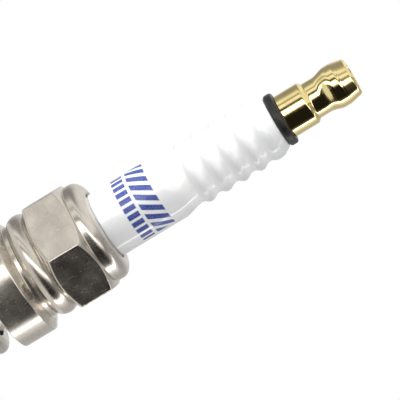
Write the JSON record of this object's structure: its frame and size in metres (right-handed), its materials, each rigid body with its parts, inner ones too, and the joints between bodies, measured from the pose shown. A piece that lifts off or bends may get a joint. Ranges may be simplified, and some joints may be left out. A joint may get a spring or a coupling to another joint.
{
  "type": "spark plug",
  "caption": "Long-reach motorcycle spark plug: threaded hex shell with loose crush gasket, ribbed ceramic insulator, screw-on terminal nut with seal ring, fine-wire centre electrode.",
  "frame": {"origin": "centre of the flange's sealing face, on the thread's axis", "axes": "+Z along the plug's axis to the terminal, firing end at -Z, two wrench flats face +Y and -Y, the ground electrode is welded on at +X"},
  "size_m": [0.0162, 0.0154, 0.0835],
  "materials": {
    "shell_nickel": "satin nickel plating over steel",
    "insulator_glaze": "white glazed alumina",
    "stud_steel": "plain bright steel",
    "nut_gold": "polished, gold-coloured plating",
    "ring_rubber": "black rubber",
    "gasket_steel": "folded, zinc-bright steel strip",
    "packing_steel": "soft steel wire and sheet",
    "talc": "pressed talc powder",
    "glass_seal": "conductive copper and glass powder, fused",
    "resistor_core": "carbon and ceramic powder, fused",
    "electrode_nickel": "nickel alloy",
    "copper": "plain copper",
    "iridium": "fine-ground iridium alloy",
    "weld_bead": "bare weld metal",
    "platinum": "plain platinum alloy"
  },
  "bodies": {
    "plug": {"metal_shell": "shell_nickel", "insulator": "insulator_glaze", "terminal_stud": "stud_steel", "upper_glass_seal": "glass_seal", "resistor": "resistor_core", "lower_glass_seal": "glass_seal", "centre_electrode": "electrode_nickel", "copper_core": "copper", "tip_weld": "weld_bead", "iridium_tip": "iridium", "ground_electrode": "electrode_nickel", "ground_weld": "weld_bead", "ground_pad": "platinum", "seat_packing": "packing_steel", "lower_packing_ring": "packing_steel", "talc_packing": "talc", "upper_packing_ring": "packing_steel"},
    "gasket": {"crush_gasket": "gasket_steel"},
    "o_ring": {"terminal_o_ring": "ring_rubber"},
    "nut": {"terminal_nut": "nut_gold"}
  },
  "joints": [
    {"name": "gasket_slide", "type": "slide", "parent": "plug", "child": "gasket", "axis": [0, 0, 1], "range_m": [0, 0.00196]},
    {"name": "nut_lift", "type": "slide", "parent": "plug", "child": "o_ring", "axis": [0, 0, 1], "range_m": [0, 0.0084]},
    {"name": "nut_unscrew", "type": "hinge", "parent": "o_ring", "child": "nut", "pos_m": [0, 0, 0.0465], "axis": [0, 0, 1], "range_deg": [0, 4320]}
  ],
  "couplings": [
    {"joint": "nut_unscrew", "follows": "nut_lift", "rad_per_m": 8976}
  ]
}
